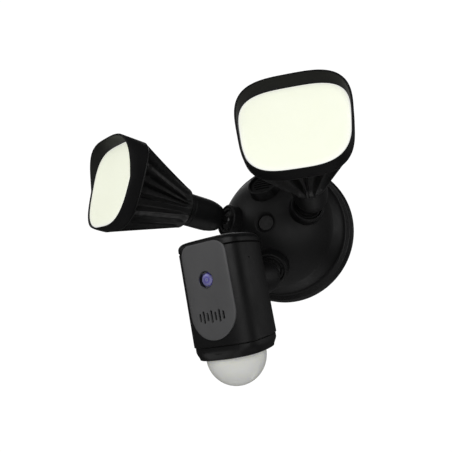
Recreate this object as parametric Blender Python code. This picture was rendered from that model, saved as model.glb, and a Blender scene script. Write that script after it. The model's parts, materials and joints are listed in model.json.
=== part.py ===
"""Twin floodlight security camera on a round wall base, as separate working pieces.

Frame: the origin is the centre of the base's back, the wall is the plane y = 0, the front
faces -Y and up is +Z. Both lamps and the camera hang on the base by hollow ball studs.
"""

import bmesh
import bpy
from math import cos, hypot, pi, radians, sin, sqrt
from mathutils import Matrix, Vector

MM = 0.001
GAP = 0.3 * MM

# Wall base: a cap of a sphere on a short cone, with a flange against the wall.
BASE_DEPTH = 53 * MM
BASE_SPHERE = 66 * MM
BASE_SKIN = 2.5 * MM
BASE_SEGMENTS = 36
PLUG_RADIUS = 6.8 * MM
RECESS_FLOOR = 46.0 * MM

SIREN_SLOT_PITCH = 4.0 * MM
SIREN_SLOT_REACH = 8.5 * MM

# Ball joints: a round boss on the base, a stud that swivels in it, a neck on the ball.
BOSS_RADIUS = 14.2 * MM
BOSS_BORE = 12.0 * MM
BOSS_LENGTH = 13.0 * MM
BOSS_EDGE = 1.05 * MM
BOSS_TILT = radians(34)
BALL_REACH = 11.7 * MM
BALL_RADIUS = 8.3 * MM
STUD_RADIUS = 3.4 * MM
WIRE_BORE = 1.8 * MM
SHANK_RADIUS = 4.8 * MM
NUT_RADIUS = 8.0 * MM
JOINT_SEGMENTS = 16

# Lamp head, measured from its ball along the neck to the lens.
LENS_WIDE = 36.1 * MM
LENS_HIGH = 32.8 * MM
LENS_TAPER = 0.09
LENS_POWER = 3.3
LENS_RISE = 1.3 * MM
LENS_FACE = 97.5 * MM
LENS_BACK = 93.5 * MM
RIM = 1.7 * MM
RIM_INSIDE = 0.25 * MM
RIM_LEDGE = -3.0 * MM
VISOR_TOP = 10.3 * MM
VISOR_POWER = 2.0
RIM_BACKSET = 5.0 * MM
SINK_START = 30.3 * MM
SINK_FLARE = 33.0 * MM
SINK_END = 88.0 * MM
SINK_FLOOR = 80.0 * MM
SINK_NARROW = 17.0 * MM
RIB_GROOVES = ((34.2 * MM, 2.0 * MM), (86.6 * MM, 6.4 * MM), (87.0 * MM, 0.0))
RIBS = 22
RIB_POINTS = 3
LENS_POINTS = 36

# Camera body, measured down from the middle of its top.
BODY_HALF_WIDTH = 25.2 * MM
BODY_FRONT = 21.1 * MM
BODY_REAR = 33.0 * MM
BODY_FRONT_POWER = 3.6
BODY_REAR_POWER = 2.2
BODY_HEIGHT = 78.8 * MM
BODY_AHEAD = 64.8 * MM
BODY_ABOVE = 31.6 * MM
BODY_SKIN = 2.4 * MM
BODY_POINTS = 36
TOP_SEAM = 6.0 * MM
BOTTOM_SEAM = 70.3 * MM
PLATE_HALF_WIDTH = 17.8 * MM
PLATE_TOP = -2.1 * MM
PLATE_BOTTOM = -66.3 * MM
PLATE_CORNER = 8.0 * MM
PLATE_FOOT = 18.9 * MM
LENS_DOWN = -26.8 * MM
SPEAKER_DOWN = -50.8 * MM
SLOT_PITCH = 3.05 * MM
LONG_SLOT = 4.1 * MM
SHORT_SLOT = 2.8 * MM
MICROPHONE_Y = -3.1 * MM
MICROPHONE_DOWN = -16.9 * MM
SENSOR_DOME = 20.7 * MM
SENSOR_DOME_Y = -0.2 * MM
SENSOR_DOME_DOWN = -79.2 * MM
CAP_FOOT = dict(front=22.6 * MM, rear=31.0 * MM, side=23.4 * MM, front_power=2.5)

# Where each ball sits, and how its neck is aimed: yaw, pitch up, roll.
HEADS = {
    "right": (Vector((44.0, -58.7, 10.5)) * MM, (10.6, 13.8, -0.4)),
    "left": (Vector((-44.0, -58.7, 10.5)) * MM, (-28.1, 8.7, 8.2)),
    "camera": (Vector((0.0, -59.5, -46.5)) * MM, (-7.5, -8.9, -2.2)),
}
SIREN_FACE = Vector((0.0, -49.8, 36.0)) * MM

PAINTS = {
    "black_plastic": ((0.022, 0.022, 0.023), 0.42, 0.0),
    "black_metal": ((0.024, 0.024, 0.025), 0.45, 0.0),
    "grey_plate": ((0.075, 0.075, 0.078), 0.38, 0.0),
    "diffuser": ((0.93, 0.95, 0.86), 0.35, 0.0),
    "milky_plastic": ((0.78, 0.78, 0.74), 0.35, 0.0),
    "white_plastic": ((0.85, 0.85, 0.83), 0.4, 0.0),
    "lens_glass": ((0.10, 0.10, 0.22), 0.05, 0.0),
    "rubber": ((0.018, 0.018, 0.018), 0.75, 0.0),
    "circuit_board": ((0.02, 0.16, 0.07), 0.5, 0.0),
    "steel": ((0.6, 0.6, 0.6), 0.35, 1.0),
    "brass": ((0.70, 0.52, 0.22), 0.35, 1.0),
    "dark_component": ((0.05, 0.05, 0.06), 0.5, 0.0),
}


def clear_scene():
    for obj in list(bpy.data.objects):
        bpy.data.objects.remove(obj, do_unlink=True)


def paint(name):
    """The named material, made the first time that it is asked for."""
    if name in bpy.data.materials:
        return bpy.data.materials[name]
    colour, roughness, metallic = PAINTS[name]
    material = bpy.data.materials.new(name)
    material.use_nodes = True
    shader = material.node_tree.nodes["Principled BSDF"]
    shader.inputs["Base Color"].default_value = (*colour, 1.0)
    shader.inputs["Roughness"].default_value = roughness
    shader.inputs["Metallic"].default_value = metallic
    return material


# ---------------------------------------------------------------- shape tools


def finished(name, bm, parent, colour, sharp=35):
    """A bmesh as a named object under its parent frame."""
    bmesh.ops.remove_doubles(bm, verts=bm.verts, dist=1e-7)
    bmesh.ops.recalc_face_normals(bm, faces=bm.faces)
    mesh = bpy.data.meshes.new(name)
    bm.to_mesh(mesh)
    bm.free()
    mesh.shade_smooth()
    mesh.set_sharp_from_angle(angle=radians(sharp))
    obj = bpy.data.objects.new(name, mesh)
    bpy.context.collection.objects.link(obj)
    obj.parent = parent
    if colour:
        obj.data.materials.append(paint(colour))
    return obj


def frame_at(name, matrix):
    """An empty that carries a group of pieces."""
    empty = bpy.data.objects.new(name, None)
    bpy.context.collection.objects.link(empty)
    empty.matrix_world = matrix
    return empty


def turned(name, profile, parent, colour, segments=JOINT_SEGMENTS, closed=True, axis="Z"):
    """A profile of (radius, height) points spun about an axis. Open profiles end on the axis."""
    bm = bmesh.new()
    verts = [bm.verts.new((radius, 0.0, height)) for radius, height in profile]
    edges = [bm.edges.new(pair) for pair in zip(verts, verts[1:])]
    if closed:
        edges.append(bm.edges.new((verts[-1], verts[0])))
    bmesh.ops.spin(
        bm,
        geom=verts + edges,
        cent=(0, 0, 0),
        axis=(0, 0, 1),
        angle=2 * pi,
        steps=segments,
        use_merge=True,
    )
    if axis == "Y":
        bmesh.ops.rotate(bm, verts=bm.verts, matrix=Matrix.Rotation(pi / 2, 3, "X"))
    if axis == "X":
        bmesh.ops.rotate(bm, verts=bm.verts, matrix=Matrix.Rotation(pi / 2, 3, "Y"))
    return finished(name, bm, parent, colour)


def lofted(name, rings, parent, colour, loop=False):
    """Skin over rings of equal point count. A loop joins the last ring to the first."""
    bm = bmesh.new()
    rows = [[bm.verts.new(point) for point in ring] for ring in rings]
    pairs = list(zip(rows, rows[1:]))
    if loop:
        pairs.append((rows[-1], rows[0]))
    for low, high in pairs:
        for i in range(len(low)):
            k = (i + 1) % len(low)
            bm.faces.new((low[i], low[k], high[k], high[i]))
    if not loop:
        bm.faces.new(rows[0])
        bm.faces.new(rows[-1])
    return finished(name, bm, parent, colour)


def block(name, size, centre, parent, colour):
    """A rectangular piece."""
    bm = bmesh.new()
    place = Matrix.Translation(centre) @ Matrix.Diagonal((*size, 1.0))
    bmesh.ops.create_cube(bm, size=1.0, matrix=place)
    return finished(name, bm, parent, colour)


def extruded(name, outline, low, high, parent, colour, axis="Z"):
    """A flat outline pushed from one height to another along Z or Y."""
    rings = []
    for level in (low, high):
        if axis == "Z":
            rings.append([(u, v, level) for u, v in outline])
        else:
            rings.append([(u, level, v) for u, v in outline])
    return lofted(name, rings, parent, colour)


def apply_cut(obj, other, operation="DIFFERENCE"):
    """Joins or cuts an object with another, which becomes a hidden guide."""
    modifier = obj.modifiers.new(other.name, "BOOLEAN")
    modifier.operation = operation
    modifier.solver = "EXACT"
    modifier.object = other
    other.hide_render = True
    other.display_type = "WIRE"


def in_mm(points):
    """Profile points written in millimetres, as metres."""
    return [(radius * MM, height * MM) for radius, height in points]


def circle(radius, count, start=0.0):
    turns = [2 * pi * (i + start) / count for i in range(count)]
    return [(radius * cos(a), radius * sin(a)) for a in turns]


def arc(radius, start, end, steps, centre=0.0):
    """Profile points on a circle about the axis, angles in degrees from that axis."""
    angles = [radians(start + (end - start) * i / steps) for i in range(steps + 1)]
    return [(radius * sin(a), centre + radius * cos(a)) for a in angles]


def power(value, exponent):
    """Signed power, which rounds a box towards an ellipse."""
    return (1 if value >= 0 else -1) * abs(value) ** (2 / exponent)


# ---------------------------------------------------------------- frames


def aimed(pivot, angles):
    """Frame at a ball with -Y along its neck."""
    yaw, pitch, roll = (radians(a) for a in angles)
    turn = (
        Matrix.Rotation(yaw, 4, "Z")
        @ Matrix.Rotation(-pitch, 4, "X")
        @ Matrix.Rotation(roll, 4, "Y")
    )
    return Matrix.Translation(pivot) @ turn


LIE_BACK = Matrix.Rotation(pi / 2, 4, "X")


def boss_direction(pivot):
    """Way out of a boss: tilted from straight ahead, away from the base's centre."""
    outward = Vector((pivot.x, 0.0, pivot.z)).normalized()
    return (Vector((0.0, -cos(BOSS_TILT), 0.0)) + outward * sin(BOSS_TILT)).normalized()


def socket_frame(face, direction):
    """Frame at the centre of a boss's face with +Z out of the boss."""
    return Matrix.Translation(face) @ direction.to_track_quat("Z", "Y").to_matrix().to_4x4()


# ---------------------------------------------------------------- wall base


def base_profile():
    """The shell's outside from the wall to the recess, then its inside back to the wall."""
    centre = BASE_DEPTH - BASE_SPHERE
    inside = BASE_SPHERE - BASE_SKIN
    flange = [(64.0, 0.0), (64.0, 4.6), (63.2, 6.8), (61.4, 8.0), (57.6, 8.3), (52.2, 26.6)]
    hollow = [(48.3, 27.6), (54.9, 8.6), (60.5, 5.2), (60.5, 0.0)]
    recess = [
        (PLUG_RADIUS + 1.3 * MM, 52.4 * MM),
        (PLUG_RADIUS, 51.0 * MM),
        (PLUG_RADIUS, RECESS_FLOOR),
        (2.8 * MM, RECESS_FLOOR),
        (2.8 * MM, RECESS_FLOOR - 3 * MM),
        (PLUG_RADIUS + 3.0 * MM, RECESS_FLOOR - 3 * MM),
    ]
    return (
        in_mm(flange)
        + arc(BASE_SPHERE, 50.0, 9.5, 6, centre)
        + recess
        + arc(inside, 9.5, 48.0, 4, centre)
        + in_mm(hollow)
    )


def boss_guides(tag, frame, floor):
    """The solid to add for one boss, and the stepped bore to take out of it."""
    outside = [
        (0.0, -BOSS_LENGTH),
        (BOSS_RADIUS, -BOSS_LENGTH),
        (BOSS_RADIUS, -BOSS_EDGE),
        (BOSS_RADIUS - BOSS_EDGE, 0.0),
        (0.0, 0.0),
    ]
    if floor:
        bore = [(0.0, -20.0), (12.0, -20.0), (12.0, -8.2), (5.2, -8.2), (5.2, -5.0)]
    else:
        bore = [(0.0, -20.0), (10.0, -20.0), (10.0, -5.0)]
    bore = in_mm(bore) + [(BOSS_BORE, -5.0 * MM), (BOSS_BORE, 2.0 * MM), (0.0, 2.0 * MM)]
    solid = turned(tag + "_boss_guide", outside, frame, None, 20, closed=False)
    hole = turned(tag + "_bore_guide", bore, frame, None, 16, closed=False)
    return solid, hole


def wall_base(frame, sockets):
    shell = turned("base_shell", base_profile(), frame, "black_plastic", BASE_SEGMENTS)
    for tag, socket in sockets.items():
        solid, hole = boss_guides(tag, socket, floor=tag != "siren")
        apply_cut(shell, solid, "UNION")
        apply_cut(shell, hole)
    rubber = [(57.2, 0.0), (60.2, 0.0), (60.2, 4.8), (57.2, 6.6)]
    turned("mounting_gasket", in_mm(rubber), frame, "rubber", 32)


def rounded_bar(half_length, half_width, steps=8):
    """A bar with half-round ends."""
    run = half_length - half_width
    right = [(run + half_width * cos(a), half_width * sin(a)) for a in sweep(-pi / 2, steps)]
    left = [(-run + half_width * cos(a), half_width * sin(a)) for a in sweep(pi / 2, steps)]
    return right + left


def sweep(start, steps):
    """Angles of a half turn."""
    return [start + pi * i / steps for i in range(steps + 1)]


def mounting_hardware(frame):
    bracket = extruded("mounting_bracket", rounded_bar(51 * MM, 12 * MM), 0.0, 2 * MM, frame, "steel")
    hub = in_mm([(0.0, 1.0), (9.0, 1.0), (9.0, 12.0), (0.0, 12.0)])
    apply_cut(bracket, turned("hub_guide", hub, frame, None, closed=False), "UNION")
    thread = in_mm([(0.0, 3.4), (2.7, 3.4), (2.7, 14.0), (0.0, 14.0)])
    apply_cut(bracket, turned("thread_guide", thread, frame, None, closed=False))
    for side, name in ((-1, "left_slot_guide"), (1, "right_slot_guide")):
        slot = [(u + side * 39.7 * MM, v) for u, v in rounded_bar(7.2 * MM, 2.5 * MM, 5)]
        apply_cut(bracket, extruded(name, slot, -1 * MM, 4 * MM, frame, None))
    earth = in_mm(
        [(0.0, 0.5), (2.0, 0.5), (2.0, 2.4), (4.0, 2.4), (4.0, 4.0), (3.2, 5.0), (0.0, 5.0)]
    )
    hole = in_mm([(0.0, -1.0), (2.3, -1.0), (2.3, 4.0), (0.0, 4.0)])
    place = frame_at("earth_frame", frame.matrix_world @ Matrix.Translation((20 * MM, 0, 0)))
    apply_cut(bracket, turned("earth_guide", hole, place, None, 12, closed=False))
    turned("ground_screw", earth, place, "brass", 12, closed=False)
    shank = 2.4 * MM
    head = 4.6 * MM
    seat = RECESS_FLOOR + GAP
    bolt = [(0.0, 4 * MM), (shank, 4 * MM), (shank, seat), (head, seat)]
    bolt += [(head, seat + 2.2 * MM), (0.0, seat + 2.2 * MM)]
    turned("centre_bolt", bolt, frame, "steel", 16, closed=False)
    rim = PLUG_RADIUS - GAP
    low = seat + 2.5 * MM
    plug = [(0.0, low), (rim, low), (rim, low + 0.9 * MM), (0.0, low + 1.3 * MM)]
    turned("bolt_plug", plug, frame, "rubber", 24, closed=False)


def base_electronics(frame, siren):
    board = extruded("driver_board", rounded_bar(35 * MM, 21 * MM, 6), 14.5 * MM, 16.1 * MM, frame,
                     "circuit_board")
    hole = in_mm([(0.0, 10.0), (4.0, 10.0), (4.0, 20.0), (0.0, 20.0)])
    apply_cut(board, turned("board_hole_guide", hole, frame, None, 16, closed=False))
    block("driver_transformer", (18 * MM, 16 * MM, 11 * MM), (-18 * MM, -3 * MM, 22 * MM), frame,
          "dark_component")
    can = in_mm([(0.0, 16.4), (5.0, 16.4), (5.0, 28.0), (0.0, 28.4)])
    place = frame_at("can_frame", frame.matrix_world @ Matrix.Translation((18 * MM, -6 * MM, 0)))
    turned("driver_capacitor", can, place, "dark_component", 14, closed=False)
    block("terminal_block", (26 * MM, 9 * MM, 8 * MM), (0.0, 19 * MM, 10.0 * MM), frame,
          "white_plastic")
    sounder = [(0.0, -10.0), (9.6, -10.0), (9.6, -5.6), (4.0, -5.6), (3.0, -6.6), (0.0, -6.6)]
    turned("siren_sounder", in_mm(sounder), siren, "dark_component", 20, closed=False)
    edge = BOSS_BORE - GAP
    cap = [(0.0, -4.6 * MM), (edge, -4.6 * MM), (edge, -2.2 * MM), (edge - 0.6 * MM, -1.6 * MM)]
    cap += [(0.0, -1.2 * MM)]
    cap = turned("siren_cap", cap, siren, "black_plastic", 24, closed=False)
    for i in range(-1, 2):
        rise = i * SIREN_SLOT_PITCH
        size = (2 * sqrt(SIREN_SLOT_REACH**2 - rise**2), 1.4 * MM, 8 * MM)
        apply_cut(cap, block(f"siren_slot_guide_{i + 1}", size, (0, rise, -3 * MM), siren, None))


# ---------------------------------------------------------------- ball joints


def ball_joint(tag, socket):
    """Lock ring, hollow stud with its ball, and the nut behind the boss."""
    ring = [(11.6, -4.7), (11.6, -1.0), (11.2, -0.6), (9.2, -0.6), (8.8, -1.0), (8.8, -2.9)]
    ring += [(10.1, -2.9), (10.1, -4.7)]
    turned(tag + "_lock_ring", in_mm(ring), socket, "black_plastic", 18)
    bottom = -BOSS_LENGTH + 1 * MM
    start = BALL_REACH - sqrt(BALL_RADIUS**2 - STUD_RADIUS**2)
    stud = [(WIRE_BORE, bottom), (SHANK_RADIUS, bottom), (SHANK_RADIUS, -4.7 * MM)]
    stud += in_mm([(9.6, -4.7), (9.6, -3.4), (8.3, -3.4), (8.3, -1.9), (4.4, -1.5)])
    stud += [(STUD_RADIUS, -0.2 * MM), (STUD_RADIUS, start)]
    stud += arc(BALL_RADIUS, 135.0, 12.5, 6, BALL_REACH)
    turned(tag + "_ball_stud", stud, socket, "black_metal")
    hexagon = circle(NUT_RADIUS, 6)
    nut = extruded(tag + "_stud_nut", hexagon, -11.2 * MM, -8.6 * MM, socket, "steel")
    hole = in_mm([(0.0, -13.0), (5.1, -13.0), (5.1, -7.0), (0.0, -7.0)])
    apply_cut(nut, turned(tag + "_nut_guide", hole, socket, None, closed=False))


def neck(tag, name, frame):
    """The cup that turns on the ball, its friction seat, and the sleeve at its far end."""
    cup = [(8.6, -5.0), (9.8, -4.5), (11.2, -2.4), (12.6, 1.8), (13.5, 7.0), (13.7, 12.0)]
    cup += [(13.7, 28.8), (12.9, 29.9), (7.2, 29.9), (7.2, 26.2), (9.9, 26.2), (9.9, 2.6), (8.9, 2.6)]
    cup += [(8.85, 0.0), (8.65, -1.9), (7.7, -4.4)]
    turned(name, in_mm(cup), frame, "black_plastic")
    seat = [(9.5, 3.1), (9.5, 11.0), (3.2, 11.0), (3.2, 8.4), (6.6, 6.1), (8.3, 3.5)]
    turned(tag + "_ball_seat", in_mm(seat), frame, "white_plastic")
    sleeve = [(5.0, 23.6), (8.8, 23.6), (8.8, 25.8), (6.7, 25.8), (6.7, 34.3), (9.6, 34.3)]
    sleeve += [(9.6, 35.9), (5.0, 35.9)]
    turned(tag + "_twist_sleeve", in_mm(sleeve), frame, "brass", 14)


# ---------------------------------------------------------------- lamp heads


def lens_point(angle, grow, blend=1.0):
    """A point on the lamp's outline, blended from the round neck end (0) to the lens (1)."""
    wide = SINK_NARROW + (LENS_WIDE + grow - SINK_NARROW) * blend
    high = SINK_NARROW + (LENS_HIGH + grow - SINK_NARROW) * blend
    exponent = 2 + (LENS_POWER - 2) * blend
    up = power(sin(angle), exponent)
    across = power(cos(angle), exponent) * (1 + LENS_TAPER * blend * up)
    return wide * across, high * up + LENS_RISE * blend


def even_angles(count):
    """Outline angles that space points evenly round the lens."""
    fine = [2 * pi * i / 2880 for i in range(2881)]
    points = [lens_point(a, 0.0) for a in fine]
    run = [0.0]
    for (x0, y0), (x1, y1) in zip(points, points[1:]):
        run.append(run[-1] + hypot(x1 - x0, y1 - y0))
    angles = []
    k = 0
    for i in range(count):
        while run[k + 1] < run[-1] * i / count:
            k += 1
        angles.append(fine[k])
    return angles


def lens_ring(angles, grow, height, blend=1.0, groove=0.0):
    """One ring of the lamp. The last point of each rib sinks by the groove's depth."""
    ring = []
    for i, angle in enumerate(angles):
        x, y = lens_point(angle, grow, blend)
        if groove and i % RIB_POINTS == RIB_POINTS - 1:
            centre = LENS_RISE * blend
            length = hypot(x, y - centre)
            x -= groove * x / length
            y -= groove * (y - centre) / length
        ring.append((x, y, height))
    return ring


def round_ring(angles, radius, height):
    """A circle about the neck's axis, with its points beside those of the lens."""
    return [(radius * cos(a), radius * sin(a), height) for a in angles]


def flare(height):
    """How far the heat sink has opened from the neck (0) to the lens (1)."""
    return (height - SINK_FLARE) / (SINK_END - SINK_FLARE)


def heat_sink(tag, frame):
    """Ribbed cone, open at the neck end, with a pocket for the light board."""
    angles = even_angles(RIBS * RIB_POINTS)
    rings = [
        round_ring(angles, 7.2 * MM, SINK_START),
        round_ring(angles, 14.4 * MM, SINK_START),
        lens_ring(angles, RIM, SINK_FLARE, 0.0),
    ]
    for height, groove in RIB_GROOVES:
        rings.append(lens_ring(angles, RIM, height, flare(height), groove))
    rings += [
        lens_ring(angles, RIM, SINK_END),
        lens_ring(angles, -6.0 * MM, SINK_END),
        lens_ring(angles, -6.0 * MM, SINK_FLOOR),
        round_ring(angles, 4.0 * MM, SINK_FLOOR),
        round_ring(angles, 4.0 * MM, SINK_FLOOR - 3 * MM),
        lens_ring(angles, -9.2 * MM, SINK_FLOOR - 3 * MM, 0.8),
        round_ring(angles, 11.2 * MM, 33.9 * MM),
        round_ring(angles, 7.2 * MM, 33.9 * MM),
    ]
    return lofted(tag + "_heat_sink", rings, frame, "black_metal", loop=True)


def bezel(tag, frame):
    """The band round the lens, which grows into a visor at the top."""
    angles = even_angles(LENS_POINTS)
    sections = []
    for angle in angles:
        up = (lens_point(angle, 0.0)[1] - LENS_RISE) / (2 * LENS_HIGH) + 0.5
        up = min(1.0, max(0.0, up))
        shoulder = LENS_FACE + VISOR_TOP * up**VISOR_POWER - RIM_BACKSET * (1 - up)
        front = max(LENS_FACE, shoulder) + GAP
        sections.append(
            [
                (RIM_LEDGE, LENS_BACK - GAP),
                (RIM_INSIDE, LENS_BACK - GAP),
                (RIM_INSIDE, front),
                (RIM * 0.62, front),
                (RIM, shoulder),
                (RIM, SINK_END + GAP),
                (RIM_LEDGE, SINK_END + GAP),
            ]
        )
    rings = []
    for k in range(len(sections[0])):
        ring = []
        for angle, section in zip(angles, sections):
            grow, height = section[k]
            ring.append((*lens_point(angle, grow), height))
        rings.append(ring)
    lofted(tag + "_bezel", rings, frame, "black_plastic", loop=True)


def lens_plate(name, grow, low, high, frame, colour):
    outline = [lens_point(a, grow) for a in even_angles(LENS_POINTS)]
    return extruded(name, outline, low, high, frame, colour)


def lens_band(name, section, frame, colour):
    """A ring that follows the lens outline, from (grow, height) points."""
    angles = even_angles(LENS_POINTS)
    rings = [lens_ring(angles, grow * MM, height * MM) for grow, height in section]
    return lofted(name, rings, frame, colour, loop=True)


def lamp_head(tag, frame):
    heat_sink(tag, frame)
    bezel(tag, frame)
    lens_plate(tag + "_lens", -0.1 * MM, LENS_BACK, LENS_FACE - 0.2 * MM, frame, "diffuser")
    board = SINK_FLOOR + GAP
    lens_plate(tag + "_light_board", -6.5 * MM, board, board + 1.6 * MM, frame, "white_plastic")
    gasket = [(-5.0, 88.4), (-3.4, 88.4), (-3.4, 90.2), (-5.0, 90.2)]
    lens_band(tag + "_lens_gasket", gasket, frame, "rubber")
    reflector = [(-3.4, 93.1), (-4.6, 93.1), (-13.0, 82.4), (-11.8, 82.4)]
    lens_band(tag + "_reflector", reflector, frame, "white_plastic")


# ---------------------------------------------------------------- camera body


def body_outline(grow, front=None, rear=None, side=None, front_power=BODY_FRONT_POWER):
    """Plan of the body: a boxy front and a rounder back."""
    front = (front or BODY_FRONT) + grow
    rear = (rear or BODY_REAR) + grow
    side = (side or BODY_HALF_WIDTH) + grow
    points = []
    for i in range(BODY_POINTS):
        angle = 2 * pi * (i + 0.5) / BODY_POINTS
        x = side * power(cos(angle), front_power)
        if sin(angle) < 0:
            points.append((x, front * power(sin(angle), front_power)))
        else:
            points.append((x, rear * power(sin(angle), BODY_REAR_POWER)))
    return points


def body_ring(grow, height, **kinds):
    return [(x, y, height) for x, y in body_outline(grow, **kinds)]


def body_solid(name, grow, low, high, frame, colour=None):
    return extruded(name, body_outline(grow), low, high, frame, colour)


def plate_outline(grow, steps=6):
    """Front plate: rounded top corners and a half-round foot."""
    half = PLATE_HALF_WIDTH + grow
    top = PLATE_TOP + grow
    corner = PLATE_CORNER
    foot_high = PLATE_FOOT + grow
    foot = PLATE_BOTTOM + PLATE_FOOT
    quarter = quarter_turn(steps)
    right = [(half - corner + corner * cos(a), top - corner + corner * sin(a)) for a in quarter]
    left = [(-x, z) for x, z in reversed(right)]
    turn = [pi * i / (2 * steps) for i in range(2 * steps + 1)]
    base = [(-half * cos(a), foot - foot_high * sin(a)) for a in turn]
    return right + left + base


def camera_shell(frame, lie):
    """Tube that houses the camera, with a socket at the back for the arm."""
    shell = body_solid("camera_shell", 0.0, -BOTTOM_SEAM, -TOP_SEAM - GAP, frame, "black_plastic")
    collar = in_mm([(0.0, 30.3), (12.8, 30.3), (13.5, 31.4), (13.5, 44.0), (0.0, 44.0)])
    apply_cut(shell, turned("collar_guide", collar, lie, None, 18, closed=False), "UNION")
    apply_cut(shell, body_solid("cavity_guide", -BODY_SKIN, -80 * MM, 5 * MM, frame))
    bore = in_mm([(0.0, 28.0), (7.2, 28.0), (7.2, 33.9), (10.4, 33.9), (10.4, 46.0), (0.0, 46.0)])
    apply_cut(shell, turned("arm_bore_guide", bore, lie, None, closed=False))
    apply_cut(shell, plate_pocket("shell_pocket", frame))
    lens = in_mm([(0.0, 10.0), (6.4, 10.0), (6.4, 30.0), (0.0, 30.0)])
    lens_place = frame_at("lens_frame", frame.matrix_world @ Matrix.Translation((0, 0, LENS_DOWN)))
    apply_cut(shell, turned("lens_guide", lens, lens_place, None, closed=False, axis="Y"))
    opening = (22 * MM, 20 * MM, 9.4 * MM)
    apply_cut(shell, block("speaker_guide", opening, (0, -20 * MM, SPEAKER_DOWN), frame, None))
    sound = in_mm([(0.0, 20.0), (0.7, 20.0), (0.7, 28.0), (0.0, 28.0)])
    at = Matrix.Translation((0, MICROPHONE_Y, MICROPHONE_DOWN))
    sound_place = frame_at("sound_frame", frame.matrix_world @ at)
    apply_cut(shell, turned("sound_guide", sound, sound_place, None, 8, closed=False, axis="X"))
    return lens_place, sound_place


def plate_pocket(name, frame):
    """Shallow pocket in the body's front that the plate drops into."""
    pocket = extruded(name, plate_outline(GAP), -30 * MM, -10 * MM, frame, None, axis="Y")
    apply_cut(pocket, body_solid(name + "_floor", -1.1 * MM, -90 * MM, 10 * MM, frame))
    return pocket


def slot_outlines():
    """Seven upright sound slots, short and long by turns."""
    for i in range(-3, 4):
        yield i, (LONG_SLOT if i % 2 == 0 else SHORT_SLOT)


def front_plate(frame, lens_place):
    plate = extruded("front_plate", plate_outline(0.0), -30 * MM, -10 * MM, frame, "grey_plate",
                     axis="Y")
    apply_cut(plate, body_solid("plate_front_guide", 0.45 * MM, -90 * MM, 10 * MM, frame),
              "INTERSECT")
    apply_cut(plate, body_solid("plate_back_guide", -0.8 * MM, -95 * MM, 15 * MM, frame))
    hole = in_mm([(0.0, 10.0), (5.6, 10.0), (5.6, 30.0), (0.0, 30.0)])
    apply_cut(plate, turned("window_guide", hole, lens_place, None, closed=False, axis="Y"))
    for i, half in slot_outlines():
        outline = [(v + i * SLOT_PITCH, u + SPEAKER_DOWN) for u, v in rounded_bar(half, 0.7 * MM, 4)]
        cutter = extruded(f"slot_guide_{i + 3}", outline, -30 * MM, -10 * MM, frame, None, axis="Y")
        apply_cut(plate, cutter)


def body_caps(frame):
    lid = [
        body_ring(-5.0 * MM, -2.4 * MM),
        body_ring(-5.0 * MM, -9.0 * MM),
        body_ring(-2.8 * MM, -9.0 * MM),
        body_ring(-2.8 * MM, -TOP_SEAM),
        body_ring(0.0, -TOP_SEAM),
        body_ring(0.0, -3.4 * MM),
        body_ring(-0.8 * MM, -1.4 * MM),
        body_ring(-2.4 * MM, 0.0),
        body_ring(-5.0 * MM, 0.8 * MM),
    ]
    cap = lofted("top_cap", lid, frame, "black_plastic")
    apply_cut(cap, plate_pocket("cap_pocket", frame))
    hole = [(x, y + SENSOR_DOME_Y) for x, y in circle(SENSOR_DOME + GAP, BODY_POINTS, 0.5)]
    cup = [
        [(x, y, -BODY_HEIGHT) for x, y in hole],
        body_ring(0.0, -BODY_HEIGHT, **CAP_FOOT),
        body_ring(-0.7 * MM, -73.4 * MM),
        body_ring(-0.7 * MM, -BOTTOM_SEAM - GAP),
        body_ring(-2.8 * MM, -BOTTOM_SEAM - GAP),
        body_ring(-2.8 * MM, -67.8 * MM),
        body_ring(-4.4 * MM, -67.8 * MM),
        body_ring(-4.4 * MM, -71.0 * MM),
        [(x, y, -75.0 * MM) for x, y in hole],
    ]
    lofted("bottom_cap", cup, frame, "black_plastic", loop=True)


def motion_sensor(frame):
    """Milky dome under the body, with the heat sensor and its board inside."""
    place = frame_at("sensor_frame", frame.matrix_world @ Matrix.Translation((0, SENSOR_DOME_Y, 0)))
    centre = SENSOR_DOME_DOWN
    inside = SENSOR_DOME - 1.5 * MM
    outer = [(SENSOR_DOME, -75.4 * MM)]
    outer += [(SENSOR_DOME * cos(a), centre - SENSOR_DOME * sin(a)) for a in quarter_turn(6)]
    inner = [(inside * cos(a), centre - inside * sin(a)) for a in reversed(quarter_turn(4))]
    turned("sensor_dome", outer + inner + [(inside, -75.4 * MM)], place, "milky_plastic", 24)
    board = in_mm([(0.0, -73.4), (15.0, -73.4), (15.0, -72.0), (0.0, -72.0)])
    turned("sensor_board", board, place, "circuit_board", 20, closed=False)
    can = in_mm([(0.0, -78.0), (4.2, -78.0), (4.6, -77.6), (4.6, -73.8), (0.0, -73.8)])
    turned("heat_sensor", can, place, "steel", 14, closed=False)


def quarter_turn(steps):
    """Angles of a quarter turn, the last one on the axis."""
    return [pi / 2 * i / steps for i in range(steps + 1)]


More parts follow.
